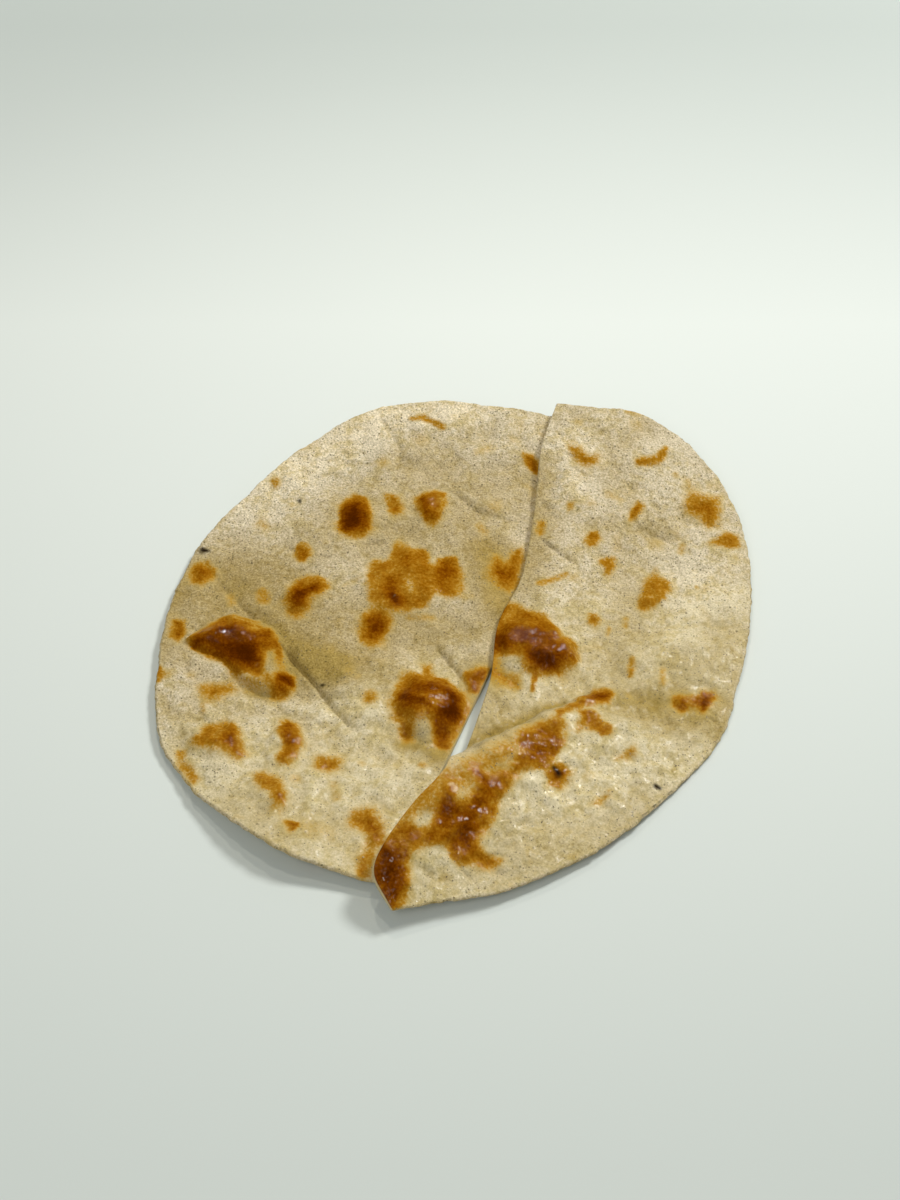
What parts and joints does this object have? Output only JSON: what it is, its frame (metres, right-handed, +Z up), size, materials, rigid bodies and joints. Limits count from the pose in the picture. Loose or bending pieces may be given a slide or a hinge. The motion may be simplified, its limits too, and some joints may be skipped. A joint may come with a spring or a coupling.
{
  "type": "tandoori roti",
  "caption": "Round blistered whole-wheat flatbread cut in two, the halves kept in the round, one lapping the other and buckled into a fold at the front.",
  "frame": {"origin": "middle of the bread's plan, on the table it lies on", "axes": "+X to the right and +Y to the back of the bread as it lies, +Z up through its browned side"},
  "size_m": [0.2241, 0.2385, 0.0208],
  "materials": {
    "left_crust": "baked whole-wheat crust, matte with a thin shine of ghee",
    "right_crust": "baked whole-wheat crust, matte with a thin shine of ghee"
  },
  "bodies": {
    "root": {"left_half": "left_crust", "right_half": "right_crust"}
  },
  "joints": []
}
